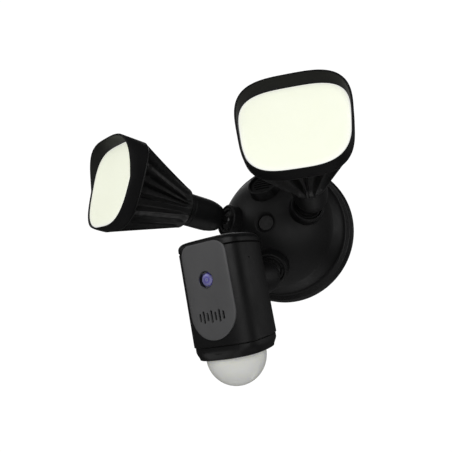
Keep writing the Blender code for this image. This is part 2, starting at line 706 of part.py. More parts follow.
def camera_insides(frame, lens_place, sound_place):
    window = in_mm([(0.0, 20.0), (5.2, 20.0), (5.2, 21.2), (0.0, 21.3)])
    turned("lens_window", window, lens_place, "lens_glass", 24, closed=False, axis="Y")
    barrel = in_mm([(0.0, 9.2), (5.8, 9.2), (5.8, 19.4), (4.4, 19.4), (3.0, 17.6), (0.0, 18.2)])
    turned("lens_barrel", barrel, lens_place, "dark_component", 20, closed=False, axis="Y")
    block("image_sensor_board", (20 * MM, 1.4 * MM, 20 * MM), (0, -8.0 * MM, LENS_DOWN), frame,
          "circuit_board")
    block("main_board", (34 * MM, 1.6 * MM, 42 * MM), (0, 0.8 * MM, -40 * MM), frame,
          "circuit_board")
    speaker = in_mm(
        [(0.0, 9.0), (6.0, 9.0), (9.4, 14.0), (9.4, 16.6), (8.4, 16.6), (3.0, 13.6), (0.0, 14.4)]
    )
    at = Matrix.Translation((0, 0, SPEAKER_DOWN))
    speaker_place = frame_at("speaker_frame", frame.matrix_world @ at)
    turned("speaker", speaker, speaker_place, "dark_component", 20, closed=False, axis="Y")
    capsule = in_mm([(0.0, 18.6), (1.9, 18.6), (1.9, 21.8), (0.0, 21.8)])
    turned("microphone", capsule, sound_place, "dark_component", 12, closed=False, axis="X")
    block("radio_antenna", (30 * MM, 0.8 * MM, 6 * MM), (0, 12 * MM, -14 * MM), frame,
          "circuit_board")


# ---------------------------------------------------------------- the whole object


def build():
    clear_scene()
    base = frame_at("base_frame", LIE_BACK)
    sockets = {}
    for tag, aim in HEADS.items():
        way = boss_direction(aim[0])
        sockets[tag] = frame_at(tag + "_socket_frame", socket_frame(aim[0] - way * BALL_REACH, way))
    siren_way = boss_direction(SIREN_FACE)
    sockets["siren"] = frame_at("siren_frame", socket_frame(SIREN_FACE, siren_way))
    bpy.context.view_layer.update()
    wall_base(base, sockets)
    mounting_hardware(base)
    base_electronics(base, sockets["siren"])
    for tag, (pivot, angles) in HEADS.items():
        aim = aimed(pivot, angles)
        lie = frame_at(tag + "_neck_frame", aim @ LIE_BACK)
        ball_joint(tag, sockets[tag])
        if tag == "camera":
            neck(tag, "camera_arm", lie)
            above = Matrix.Translation((0.0, -BODY_AHEAD, BODY_ABOVE))
            body = frame_at("camera_frame", aim @ above)
            bpy.context.view_layer.update()
            lens_place, sound_place = camera_shell(body, lie)
            front_plate(body, lens_place)
            body_caps(body)
            motion_sensor(body)
            camera_insides(body, lens_place, sound_place)
        else:
            neck(tag, tag + "_neck", lie)
            lamp_head(tag, lie)


build()
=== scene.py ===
"""Looks of the twin floodlight security camera: final meshes, materials, light and camera."""

import json
from math import asin, atan2, cos, hypot, pi, radians, sin, sqrt, tan

import bmesh
import bpy
from mathutils import Matrix, Vector


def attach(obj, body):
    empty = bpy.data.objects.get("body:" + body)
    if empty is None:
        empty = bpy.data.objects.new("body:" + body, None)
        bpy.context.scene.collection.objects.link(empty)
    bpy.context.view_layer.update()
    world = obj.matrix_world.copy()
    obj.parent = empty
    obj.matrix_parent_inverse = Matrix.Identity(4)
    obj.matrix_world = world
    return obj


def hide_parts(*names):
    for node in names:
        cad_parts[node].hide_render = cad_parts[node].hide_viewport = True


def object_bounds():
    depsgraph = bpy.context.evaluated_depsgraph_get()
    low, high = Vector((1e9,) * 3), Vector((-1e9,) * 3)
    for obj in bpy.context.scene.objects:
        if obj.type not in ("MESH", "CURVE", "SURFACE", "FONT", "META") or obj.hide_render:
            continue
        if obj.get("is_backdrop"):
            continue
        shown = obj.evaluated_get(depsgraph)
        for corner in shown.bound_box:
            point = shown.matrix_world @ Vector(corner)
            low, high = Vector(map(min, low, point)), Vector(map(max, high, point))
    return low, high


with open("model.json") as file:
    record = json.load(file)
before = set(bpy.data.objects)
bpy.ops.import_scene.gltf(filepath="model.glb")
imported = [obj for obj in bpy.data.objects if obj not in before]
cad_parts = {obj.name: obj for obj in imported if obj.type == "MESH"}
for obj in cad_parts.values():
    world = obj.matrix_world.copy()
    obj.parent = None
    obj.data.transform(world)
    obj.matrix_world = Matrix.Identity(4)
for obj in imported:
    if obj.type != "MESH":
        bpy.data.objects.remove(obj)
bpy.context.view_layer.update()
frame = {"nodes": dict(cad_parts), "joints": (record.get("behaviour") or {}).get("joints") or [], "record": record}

MM = 0.001

# Profile tables and the bare sizes of balls, lamps, camera body and slots are in millimetres.
# Every other length is in metres.

# ---------------------------------------------------------------- places, from the frame

JOINTS = {joint["name"]: joint for joint in frame["joints"]}
HEADS = ("right", "left", "camera")
ROLL = {"right": -0.4, "left": 8.2, "camera": -2.2}
NECK_BODY = {"right": "right_neck", "left": "left_neck", "camera": "camera_arm"}
HEAD_BODY = {"right": "right_lamp", "left": "left_lamp", "camera": "camera"}
LIE_BACK = Matrix.Rotation(pi / 2, 4, "X")
BALL_REACH = 11.7
BALL_RADIUS = 8.3
STEM_RADIUS = 3.4
BOSS_TILT = radians(34)
SIREN_FACE = Vector((0.0, -49.8, 36.0)) * MM
BODY_AHEAD = 64.8 * MM
BODY_ABOVE = 31.6 * MM


def aim_of(tag):
    """Frame at a ball with -Y along its neck, from the head's twist joint."""
    joint = JOINTS[tag + "_twist"]
    way = Vector(joint["axis"]).normalized()
    yaw = atan2(way.x, -way.y)
    pitch = asin(way.z)
    turn = (
        Matrix.Rotation(yaw, 4, "Z")
        @ Matrix.Rotation(-pitch, 4, "X")
        @ Matrix.Rotation(radians(ROLL[tag]), 4, "Y")
    )
    return Matrix.Translation(joint["pos_m"]) @ turn


def socket_at(face, way):
    """Frame at the centre of a boss's face with +Z out of the boss."""
    return Matrix.Translation(face) @ way.to_track_quat("Z", "Y").to_matrix().to_4x4()


def socket_of(tag):
    """Frame at the boss that holds a head's ball, from the head's swivel joint."""
    joint = JOINTS[tag + "_swivel"]
    way = Vector(joint["axis"]).normalized()
    return socket_at(Vector(joint["pos_m"]) - way * (BALL_REACH * MM), way)


def siren_socket():
    """Frame at the boss that holds the siren's cover."""
    way = Vector((0.0, -cos(BOSS_TILT), sin(BOSS_TILT)))
    return socket_at(SIREN_FACE, way)


# ---------------------------------------------------------------- materials


class Nodes:
    """Short ways to add nodes to one material."""

    def __init__(self, name):
        self.material = bpy.data.materials.new("look_" + name)
        self.material.use_nodes = True
        self.tree = self.material.node_tree
        self.shader = self.tree.nodes["Principled BSDF"]
        self.place = self.add("ShaderNodeTexCoord").outputs["Object"]

    def add(self, kind, **values):
        """A new node, with values for its own settings or for its inputs."""
        node = self.tree.nodes.new(kind)
        for key, value in values.items():
            if hasattr(node, key):
                setattr(node, key, value)
            else:
                node.inputs[key.replace("_", " ")].default_value = value
        return node

    def link(self, source, target):
        self.tree.links.new(source, target)

    def noise(self, scale, detail=3.0, roughness=0.5, stretch=None):
        node = self.add("ShaderNodeTexNoise", Scale=scale, Detail=detail, Roughness=roughness)
        place = self.place
        if stretch:
            mapping = self.add("ShaderNodeMapping", Scale=stretch)
            self.link(place, mapping.inputs["Vector"])
            place = mapping.outputs["Vector"]
        self.link(place, node.inputs["Vector"])
        return node.outputs["Fac"]

    def voronoi(self, scale, feature="F1", randomness=1.0):
        node = self.add("ShaderNodeTexVoronoi", feature=feature, Scale=scale, Randomness=randomness)
        self.link(self.place, node.inputs["Vector"])
        return node.outputs["Distance"]

    def ramp(self, source, low, high, start=0.35, end=0.65):
        """Maps a factor to a range of values or colours."""
        if isinstance(low, tuple):
            node = self.add("ShaderNodeValToRGB")
            stops = node.color_ramp.elements
            stops[0].position, stops[1].position = start, end
            stops[0].color, stops[1].color = (*low, 1.0), (*high, 1.0)
            self.link(source, node.inputs["Fac"])
            return node.outputs["Color"]
        node = self.add("ShaderNodeMapRange")
        node.inputs["From Min"].default_value = start
        node.inputs["From Max"].default_value = end
        node.inputs["To Min"].default_value = low
        node.inputs["To Max"].default_value = high
        self.link(source, node.inputs["Value"])
        return node.outputs["Result"]

    def add_up(self, first, second, share=1.0):
        """The first factor plus a share of the second."""
        node = self.add("ShaderNodeMath", operation="MULTIPLY_ADD")
        self.link(second, node.inputs[0])
        node.inputs[1].default_value = share
        self.link(first, node.inputs[2])
        return node.outputs[0]

    def bump(self, height, depth):
        """Depth is the height of the relief in metres."""
        node = self.add("ShaderNodeBump", Strength=1.0, Distance=depth)
        self.link(height, node.inputs["Height"])
        self.link(node.outputs["Normal"], self.shader.inputs["Normal"])

    def set(self, **values):
        """Sets or links inputs of the shader."""
        for key, value in values.items():
            socket = self.shader.inputs[key.replace("_", " ")]
            if hasattr(value, "is_output"):
                self.link(value, socket)
            else:
                socket.default_value = value


def moulded(name, colour, roughness, grain, depth, spread=0.12, gloss=0.3):
    """Moulded plastic: spark-eroded grain, faint flow marks, dust and handling in the gloss."""
    n = Nodes(name)
    flow = n.noise(22.0, 4.0, 0.55, stretch=(1.0, 1.0, 0.35))
    cloud = n.noise(70.0, 5.0, 0.6)
    light = tuple(c * (1.0 + spread * 2.2) for c in colour)
    dark = tuple(c * (1.0 - spread) for c in colour)
    n.set(Base_Color=n.ramp(n.add_up(flow, cloud, 0.25), dark, light, 0.4, 0.85))
    handled = n.add_up(n.noise(45.0, 6.0, 0.65), n.noise(9.0, 2.0), 0.5)
    n.set(Roughness=n.ramp(handled, roughness - 0.06, roughness + 0.10, 0.55, 0.95))
    pits = n.voronoi(grain, "SMOOTH_F1")
    n.bump(n.add_up(pits, n.noise(grain * 0.6, 2.0), 0.6), depth)
    n.set(Specular_IOR_Level=gloss)
    return n


def powder_coat(name, colour, roughness):
    """Powder-coated casting: orange peel over a faintly uneven casting."""
    n = Nodes(name)
    cloud = n.noise(60.0, 4.0, 0.6)
    dark = tuple(c * 0.8 for c in colour)
    light = tuple(c * 1.5 for c in colour)
    n.set(Base_Color=n.ramp(cloud, dark, light, 0.3, 0.75))
    n.set(Roughness=n.ramp(n.noise(240.0, 3.0), roughness - 0.07, roughness + 0.08))
    peel = n.add_up(n.noise(900.0, 2.0, 0.5), n.noise(120.0, 3.0, 0.5), 0.8)
    n.bump(peel, 0.05 * MM)
    n.set(Specular_IOR_Level=0.5)
    return n


def metal(name, colour, roughness):
    """Plated or turned metal with fine tool marks and slight tarnish."""
    n = Nodes(name)
    n.set(Metallic=1.0)
    marks = n.noise(420.0, 3.0, 0.6, stretch=(1.0, 1.0, 14.0))
    stain = n.noise(90.0, 5.0, 0.6)
    dark = tuple(c * 0.72 for c in colour)
    n.set(Base_Color=n.ramp(stain, dark, colour, 0.35, 0.7))
    n.set(Roughness=n.ramp(marks, roughness - 0.08, roughness + 0.12))
    n.bump(marks, 0.02 * MM)
    return n


def diffuser_look():
    """Frosted lamp lens, lit from behind: cream-white face, whiter rolled edge, fine frosting."""
    n = Nodes("diffuser")
    edge = n.add("ShaderNodeAttribute", attribute_name="edge").outputs["Fac"]
    cloud = n.noise(30.0, 3.0)
    n.set(Base_Color=n.ramp(cloud, (0.56, 0.575, 0.49), (0.585, 0.60, 0.52), 0.3, 0.7))
    face = n.ramp(cloud, (0.905, 0.93, 0.775), (0.925, 0.95, 0.795), 0.3, 0.7)
    mix = n.add("ShaderNodeMix", data_type="RGBA")
    n.link(edge, mix.inputs["Factor"])
    # A Mix node has sockets called A and B for each type of data.
    colours = {socket.name: socket for socket in mix.inputs if socket.type == "RGBA"}
    n.link(face, colours["A"])
    colours["B"].default_value = (0.97, 0.97, 0.95, 1.0)
    glow = [socket for socket in mix.outputs if socket.type == "RGBA"][0]
    n.set(Emission_Color=glow, Emission_Strength=0.68)
    n.set(Roughness=n.ramp(n.noise(400.0, 2.0), 0.34, 0.46))
    n.set(Subsurface_Weight=0.25, Subsurface_Radius=(4 * MM, 4 * MM, 3 * MM))
    frost = n.add_up(n.voronoi(1100.0), n.noise(2600.0, 2.0), 0.5)
    n.bump(frost, 0.02 * MM)
    return n


def milky_look():
    """Thin milky cover with faint facets inside; a little glow stands for light through it."""
    n = Nodes("milky_plastic")
    facets = n.voronoi(150.0, "DISTANCE_TO_EDGE", 0.25)
    lines = n.ramp(facets, 0.0, 1.0, 0.0, 0.05)
    cloud = n.noise(40.0, 3.0)
    tone = n.ramp(n.add_up(cloud, lines, 0.12), (0.92, 0.93, 0.86), (0.97, 0.98, 0.92), 0.35, 0.7)
    n.set(Base_Color=tone, Roughness=n.ramp(n.noise(260.0, 3.0), 0.26, 0.38))
    n.set(Subsurface_Weight=0.55, Subsurface_Radius=(5 * MM, 5 * MM, 4 * MM))
    n.set(Coat_Weight=0.25, Coat_Roughness=0.12)
    n.set(Emission_Color=tone, Emission_Strength=0.14)
    n.bump(lines, 0.015 * MM)
    return n


def rubber_look():
    """Matt rubber, unevenly dusty."""
    n = Nodes("rubber")
    cloud = n.noise(80.0, 5.0, 0.65)
    n.set(Base_Color=n.ramp(cloud, (0.014, 0.014, 0.014), (0.034, 0.034, 0.034)))
    n.set(Roughness=n.ramp(n.noise(300.0, 3.0), 0.6, 0.82))
    n.bump(n.add_up(n.noise(1500.0, 2.0), n.voronoi(700.0), 0.5), 0.04 * MM)
    return n


def board_look():
    """Solder mask with traces and small pads."""
    n = Nodes("circuit_board")
    tracks = n.voronoi(420.0, "DISTANCE_TO_EDGE", 0.0)
    lines = n.ramp(tracks, 0.0, 1.0, 0.05, 0.12)
    n.set(Base_Color=n.ramp(lines, (0.03, 0.22, 0.09), (0.012, 0.11, 0.045), 0.2, 0.8))
    n.set(Roughness=n.ramp(n.noise(200.0, 3.0), 0.32, 0.5), Coat_Weight=0.3)
    n.bump(lines, 0.03 * MM)
    return n


def window_look():
    """Clear front glass with a faint violet coating."""
    n = Nodes("lens_glass")
    cloud = n.noise(300.0, 2.0)
    n.set(Base_Color=n.ramp(cloud, (0.80, 0.80, 1.0), (0.86, 0.86, 1.0)))
    n.set(Roughness=n.ramp(n.noise(900.0, 2.0), 0.0, 0.03))
    n.set(Transmission_Weight=1.0, IOR=1.33, Coat_Weight=0.4, Coat_Roughness=0.02)
    return n


def element_look(centre, way):
    """Coated front element with painted reflections: rings of violet and blue about the lens's axis, painted into
    its colour.
    """
    n = Nodes("lens_coating_reflections")
    offset = n.add("ShaderNodeVectorMath", operation="SUBTRACT")
    n.link(n.place, offset.inputs[0])
    offset.inputs[1].default_value = centre
    across = n.add("ShaderNodeVectorMath", operation="CROSS_PRODUCT")
    n.link(offset.outputs[0], across.inputs[0])
    across.inputs[1].default_value = way
    length = n.add("ShaderNodeVectorMath", operation="LENGTH")
    n.link(across.outputs[0], length.inputs[0])
    scaled = n.ramp(length.outputs["Value"], 0.0, 1.0, 0.0, 4.6 * MM)
    ramp = n.add("ShaderNodeValToRGB")
    stops = ramp.color_ramp
    # Painted reflections: light and dark rings in the coating's violet and blue, set as base colour.
    colours = (
        (0.0, (0.62, 0.60, 1.0)),
        (0.22, (0.86, 0.85, 1.0)),
        (0.34, (0.38, 0.34, 0.92)),
        (0.55, (0.62, 0.58, 1.0)),
        (0.74, (0.84, 0.82, 1.0)),
        (0.88, (0.22, 0.18, 0.66)),
        (1.0, (0.04, 0.03, 0.12)),
    )
    for k, (position, colour) in enumerate(colours):
        stop = stops.elements[k] if k < 2 else stops.elements.new(position)
        stop.position = position
        stop.color = (*colour, 1.0)
    n.link(n.add_up(scaled, n.noise(500.0, 2.0), 0.04), ramp.inputs["Fac"])
    n.set(Base_Color=ramp.outputs["Color"], Metallic=0.15, Coat_Weight=1.0, Coat_Roughness=0.03)
    n.set(Roughness=n.ramp(n.noise(700.0, 2.0), 0.08, 0.16))
    return n


BLACK = (0.0038, 0.0038, 0.0040)
LOOKS = {
    "black_plastic": moulded("black_plastic", BLACK, 0.46, 1500.0, 0.035 * MM, gloss=0.34),
    "visor_black": moulded("visor_black", (0.010, 0.010, 0.0103), 0.5, 1500.0, 0.035 * MM,
                           gloss=0.10),
    "black_metal": powder_coat("black_metal", (0.010, 0.010, 0.010), 0.36),
    "grey_plate": moulded("grey_plate", (0.110, 0.110, 0.112), 0.42, 1900.0, 0.025 * MM, 0.08),
    "diffuser": diffuser_look(),
    "milky_plastic": milky_look(),
    "white_plastic": moulded("white_plastic", (0.78, 0.78, 0.75), 0.40, 1200.0, 0.03 * MM, 0.05),
    "lens_glass": window_look(),
    "rubber": rubber_look(),
    "circuit_board": board_look(),
    "steel": metal("steel", (0.62, 0.62, 0.60), 0.34),
    "brass": metal("brass", (0.72, 0.54, 0.24), 0.30),
    "dark_component": moulded("dark_component", (0.012, 0.012, 0.014), 0.5, 1400.0, 0.03 * MM),
}
SLOTS = {part["node"]: part["material_slot"] for part in frame["record"]["subparts"]}
for node, obj in frame["nodes"].items():
    obj.data.materials.clear()
    obj.data.materials.append(LOOKS[SLOTS[node]].material)

# ---------------------------------------------------------------- mesh tools


def link(name, data):
    """An object in the scene that holds a mesh, a light or a camera."""
    obj = bpy.data.objects.new(name, data)
    bpy.context.scene.collection.objects.link(obj)
    return obj


def mesh_of(name, bm):
    mesh = bpy.data.meshes.new(name)
    bm.to_mesh(mesh)
    bm.free()
    return mesh


def placed(name, bm, place):
    """An object from mesh code: welded, its normals outwards, placed in the row frame."""
    bmesh.ops.remove_doubles(bm, verts=bm.verts, dist=1e-7)
    bmesh.ops.recalc_face_normals(bm, faces=bm.faces)
    mesh = mesh_of(name, bm)
    mesh.transform(place)
    return link(name, mesh)


def piece(name, bm, place, body, look, nodes=(), sharp=32.0):
    """A finished piece: placed, shaded, given its look, and riding on its body."""
    return dress(placed(name, bm, place), body, look, nodes, sharp)


def dress(obj, body, look, nodes=(), sharp=32.0):
    """Shades an object, gives it its look and puts it on its body, in place of the named nodes."""
    obj.data.shade_smooth()
    obj.data.set_sharp_from_angle(angle=radians(sharp))
    obj.data.materials.clear()
    obj.data.materials.append(LOOKS[look].material)
    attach(obj, body)
    if nodes:
        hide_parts(*nodes)
    return obj


def guide(bm, place):
    """A solid that booleans cut with, join, or start from."""
    return placed("guide", bm, place)


def carve(obj, cuts, operation="DIFFERENCE"):
    """Applies booleans to an object and removes the guides."""
    for cut in cuts:
        modifier = obj.modifiers.new("carve", "BOOLEAN")
        modifier.operation = operation
        modifier.solver = "EXACT"
        modifier.object = cut
    bake(obj)
    for cut in cuts:
        bpy.data.objects.remove(cut, do_unlink=True)
    return obj


def bake(obj):
    """Replaces an object's mesh with what its modifiers make of it."""
    graph = bpy.context.evaluated_depsgraph_get()
    graph.update()
    mesh = bpy.data.meshes.new_from_object(obj.evaluated_get(graph))
    obj.modifiers.clear()
    obj.data = mesh


def rounded(points, steps=4):
    """Rounds a closed profile of (radius, height, fillet) points; takes millimetres, gives metres."""
    out = []
    count = len(points)
    for i, (x, y, fillet) in enumerate(points):
        if fillet <= 0.0:
            out.append((x * MM, y * MM))
            continue
        here = Vector((x, y))
        before = Vector(points[i - 1][:2]) - here
        after = Vector(points[(i + 1) % count][:2]) - here
        corner = before.angle(after)
        reach = fillet / max(0.05, tan(corner / 2))
        reach = min(reach, before.length * 0.49, after.length * 0.49)
        start = here + before.normalized() * reach
        end = here + after.normalized() * reach
        for k in range(steps + 1):
            t = k / steps
            point = start * (1 - t) ** 2 + here * 2 * t * (1 - t) + end * t**2
            out.append((point.x * MM, point.y * MM))
    return out


def spun(profile, segments=96, closed=True):
    """A profile of (radius, height) points turned about +Z."""
    bm = bmesh.new()
    rings = []
    for radius, height in profile:
        if radius < 1e-7:
            rings.append([bm.verts.new((0.0, 0.0, height))] * segments)
        else:
            turns = [2 * pi * i / segments for i in range(segments)]
            rings.append([bm.verts.new((radius * cos(a), radius * sin(a), height)) for a in turns])
    pairs = list(zip(rings, rings[1:]))
    if closed:
        pairs.append((rings[-1], rings[0]))
    for low, high in pairs:
        for i in range(segments):
            k = (i + 1) % segments
            corners = []
            for vert in (low[i], low[k], high[k], high[i]):
                if vert not in corners:
                    corners.append(vert)
            if len(corners) > 2:
                bm.faces.new(corners)
    return bm


def skinned(rings, loop=True, capped=True):
    """Skin over rings of equal point count. A loop joins the last ring to the first."""
    bm = bmesh.new()
    rows = [[bm.verts.new(point) for point in ring] for ring in rings]
    pairs = list(zip(rows, rows[1:]))
    if loop:
        pairs.append((rows[-1], rows[0]))
    for low, high in pairs:
        for i in range(len(low)):
            k = (i + 1) % len(low)
            bm.faces.new((low[i], low[k], high[k], high[i]))
    if not loop and capped:
        bm.faces.new(rows[0])
        bm.faces.new(rows[-1])
    return bm


def arc(radius, start, end, steps, centre):
    """Profile points on a circle centred on the axis, with angles in degrees from the axis."""
    turns = [radians(start + (end - start) * i / steps) for i in range(steps + 1)]
    return [(radius * sin(a), centre + radius * cos(a), 0.0) for a in turns]


def box_solid(size, centre):
    """A box, its size and centre in metres."""
    bm = bmesh.new()
    place = Matrix.Translation(centre) @ Matrix.Diagonal((*size, 1.0))
    bmesh.ops.create_cube(bm, size=1.0, matrix=place)
    return bm


def power(value, exponent):
    """A cosine or sine bent to a superellipse's, with its sign kept."""
    return (1 if value >= 0 else -1) * abs(value) ** (2 / exponent)


def evenly(outline, count, fine_steps=2880):
    """Angles that space an outline's points evenly along its length."""
    fine = [2 * pi * i / fine_steps for i in range(fine_steps + 1)]
    points = [outline(angle) for angle in fine]
    run = [0.0]
    for (x0, y0), (x1, y1) in zip(points, points[1:]):
        run.append(run[-1] + hypot(x1 - x0, y1 - y0))
    angles = []
    k = 0
    for i in range(count):
        goal = run[-1] * i / count
        while run[k + 1] < goal:
            k += 1
        share = (goal - run[k]) / (run[k + 1] - run[k])
        angles.append(fine[k] + (fine[k + 1] - fine[k]) * share)
    return angles


# ---------------------------------------------------------------- wall base

SIREN_SLOT_PITCH = 3.0
SIREN_SLOT_REACH = 8.6

def base_profile():
    """Flanged dome with a recess for the centre bolt, skin 2.5 mm."""
    outside = [(64.0, 0.0, 0.3), (64.0, 5.3, 2.4), (62.2, 8.1, 1.0), (58.6, 8.1, 1.2)]
    outside += [(57.4, 9.3, 0.5), (52.2, 26.8, 6.0)]
    dome = arc(66.0, 49.0, 9.0, 22, -13.0)
    recess = [(8.9, 52.3, 0.9), (6.8, 50.6, 1.0), (6.8, 46.0, 0.3), (2.8, 46.0, 0.2)]
    recess += [(2.8, 43.0, 0.0), (9.8, 43.0, 0.0)]
    inside = arc(63.5, 9.5, 48.0, 16, -13.0)
    hollow = [(48.3, 27.6, 0.0), (54.9, 8.6, 0.0), (60.5, 5.2, 0.0), (60.5, 0.0, 0.2)]
    return rounded(outside + dome + recess + inside + hollow)


def boss_solid():
    """Short round boss, its face at height 0."""
    return spun(rounded([(0, -13, 0), (14.2, -13, 0), (14.2, 0, 1.5), (0, 0, 0)], 5), 96, False)


def bore_solid(ball):
    """What is cut from a boss: a ball's bore has a floor with a hole for the stud."""
    if ball:
        points = [(0, -20, 0), (12.0, -20, 0), (12.0, -8.2, 0), (5.2, -8.2, 0), (5.2, -5.0, 0)]
    else:
        points = [(0, -20, 0), (10.0, -20, 0), (10.0, -5.0, 0)]
    points += [(12.0, -5.0, 0), (12.0, -0.7, 0.5), (12.7, 2.0, 0), (0, 2.0, 0)]
    return spun(rounded(points, 3), 96, False)


def wall_base():
    """The base's shell, joined with its four bosses and bored for what they hold."""
    shell = guide(spun(base_profile(), 160), LIE_BACK)
    sockets = [socket_of(tag) for tag in HEADS]
    carve(shell, [guide(boss_solid(), at) for at in sockets + [siren_socket()]], "UNION")
    bores = [guide(bore_solid(True), at) for at in sockets]
    carve(shell, bores + [guide(bore_solid(False), siren_socket())])
    shell.name = "wall_base"
    dress(shell, "base", "black_plastic", ["base_shell"], 28.0)


def centre_plug():
    """Soft plug over the bolt, with a pry notch and a dished face."""
    points = [(0, 47.6, 0), (6.45, 47.6, 0.2), (6.45, 49.7, 0.4), (5.9, 50.0, 0.4)]
    points += [(4.6, 49.3, 1.5), (2.2, 48.85, 1.5), (0, 48.8, 0)]
    plug = guide(spun(rounded(points, 4), 64, False), LIE_BACK)
    notch = guide(box_solid((2.2 * MM, 1.0 * MM, 0.8 * MM), (0, 6.5 * MM, 49.8 * MM)), LIE_BACK)
    carve(plug, [notch])
    plug.name = "plug"
    dress(plug, "base", "rubber", ["bolt_plug"])


def siren_grille():
    """Round cover with slots of even pitch that end on one circle."""
    at = siren_socket()
    points = [(0, -4.6, 0), (11.7, -4.6, 0.2), (11.7, -1.9, 0.9), (9.6, -1.6, 0.4), (0, -1.2, 0)]
    cap = guide(spun(rounded(points, 4), 72, False), at)
    cuts = []
    for i in range(-2, 3):
        rise = i * SIREN_SLOT_PITCH * MM
        reach = sqrt((SIREN_SLOT_REACH * MM) ** 2 - rise**2)
        cuts.append(guide(box_solid((2 * reach, 1.3 * MM, 8 * MM), (0, rise, -3 * MM)), at))
    carve(cap, cuts)
    cap.name = "siren_grille"
    dress(cap, "base", "black_plastic", ["siren_cap"])


# ---------------------------------------------------------------- ball joints


def ball_joint(tag):
    """Lock ring with six notches, and the hollow stud with its ball."""
    at = socket_of(tag)
    ring = [(11.6, -4.7, 0.2), (11.6, -1.0, 0.5), (11.0, -0.5, 0.3), (9.4, -0.5, 0.4)]
    ring += [(8.8, -1.1, 0.3), (8.8, -2.9, 0), (10.1, -2.9, 0), (10.1, -4.7, 0)]
    lock = guide(spun(rounded(ring, 3), 96), at)
    cuts = []
    for k in range(6):
        turn = Matrix.Rotation(2 * pi * k / 6, 4, "Z")
        notch = box_solid((1.6 * MM, 1.5 * MM, 1.0 * MM), (10.3 * MM, 0, -0.4 * MM))
        cuts.append(guide(notch, at @ turn))
    carve(lock, cuts)
    lock.name = tag + "_ring"
    dress(lock, "base", "black_plastic", [tag + "_lock_ring"])
    start = BALL_REACH - sqrt(BALL_RADIUS**2 - STEM_RADIUS**2)
    stud = [(1.8, -12.0, 0), (4.8, -12.0, 0.4), (4.8, -4.7, 0), (9.6, -4.7, 0), (9.6, -3.4, 0.2)]
    stud += [(8.3, -3.4, 0), (8.3, -1.9, 0.4), (4.4, -1.5, 0.8)]
    stud += [(STEM_RADIUS, -0.2, 0.6), (STEM_RADIUS, start, 0.4)]
    stud += arc(BALL_RADIUS, 154.0, 12.5, 22, BALL_REACH)
    piece(tag + "_stud", spun(rounded(stud, 3), 64), at, tag + "_stud", "black_metal",
          [tag + "_ball_stud"])


def neck(tag):
    """Cup that tilts on the ball, with a lip and a seam near its far end."""
    place = aim_of(tag) @ LIE_BACK
    name = "camera_arm" if tag == "camera" else tag + "_neck"
    cup = [(8.6, -5.0, 0.3), (9.8, -4.5, 0.9), (11.2, -2.4, 2.0), (12.6, 1.8, 3.0)]
    cup += [(13.5, 7.0, 4.0), (13.7, 12.0, 3.0)]
    cup += [(13.7, 26.4, 0.1), (13.3, 26.7, 0.1), (13.3, 27.3, 0.1), (13.7, 27.6, 0.1)]
    cup += [(13.7, 29.9, 0.8), (7.2, 29.9, 0.2), (7.2, 26.2, 0), (9.9, 26.2, 0)]
    cup += [(9.9, 2.6, 0), (8.9, 2.6, 0), (8.85, 0.0, 0), (8.65, -1.9, 0), (7.7, -4.4, 0.2)]
    piece(name + "_tube", spun(rounded(cup, 4), 96), place, NECK_BODY[tag], "black_plastic", [name])


# ---------------------------------------------------------------- lamps

LENS_WIDE = 36.1
LENS_HIGH = 32.8
LENS_TAPER = 0.09
LENS_POWER = 3.3
LENS_RISE = 1.3
NARROW = 17.0
SINK_FLARE = 33.0
SINK_END = 88.0
LENS_BACK = 93.5
LENS_FACE = 97.5
RIM = 1.7
VISOR_TOP = 10.3
RIM_BACKSET = 5.0
RIBS = 22
RIB_POINTS = 12
RIB_START = 34.2
RIB_STOP = 86.2
GROOVE_START = 2.0
GROOVE_GROWTH = 4.3
GROOVE_SHARE = 0.55
FIN_SHARE = 0.45
FIN_ROUNDNESS = 1.6
INNER_EDGE = -6.0
INNER_FLOOR = 80.0
SINK_SKIN_BACK = 77.0
COLLAR_END = 30.3
COLLAR_BORE = 7.2
HOLLOW_START = 33.9


def lens_point(angle, grow, blend=1.0):
    """A point on the lamp's outline in millimetres, from the neck end (0) to the lens (1)."""
    wide = NARROW + (LENS_WIDE + grow - NARROW) * blend
    high = NARROW + (LENS_HIGH + grow - NARROW) * blend
    exponent = 2 + (LENS_POWER - 2) * blend
    up = power(sin(angle), exponent)
    across = power(cos(angle), exponent) * (1 + LENS_TAPER * blend * up)
    return wide * across, high * up + LENS_RISE * blend


def even_angles(count):
    """Outline angles that space points evenly round the lens."""
    return evenly(lambda angle: lens_point(angle, 0.0), count)


def lens_ring(angles, grow, height, blend=1.0):
    """Ring on the lamp's outline."""
    ring = []
    for angle in angles:
        x, y = lens_point(angle, grow, blend)
        ring.append((x * MM, y * MM, height * MM))
    return ring


def round_ring(angles, radius, height):
    return [(radius * cos(a) * MM, radius * sin(a) * MM, height * MM) for a in angles]


def rib_ring(angles, height, depth):
    """Ring with thin round-topped fins between wide grooves of the given depth."""
    blend = max(0.0, (height - SINK_FLARE) / (SINK_END - SINK_FLARE))
    ring = []
    for i, angle in enumerate(angles):
        x, y = lens_point(angle, RIM, blend)
        phase = abs((i % RIB_POINTS) / RIB_POINTS - 0.5) * 2
        groove = depth * (1 - max(0.0, (phase - GROOVE_SHARE) / FIN_SHARE) ** FIN_ROUNDNESS)
        centre = LENS_RISE * blend
        length = hypot(x, y - centre)
        x -= groove * x / length
        y -= groove * (y - centre) / length
        ring.append((x * MM, y * MM, height * MM))
    return ring


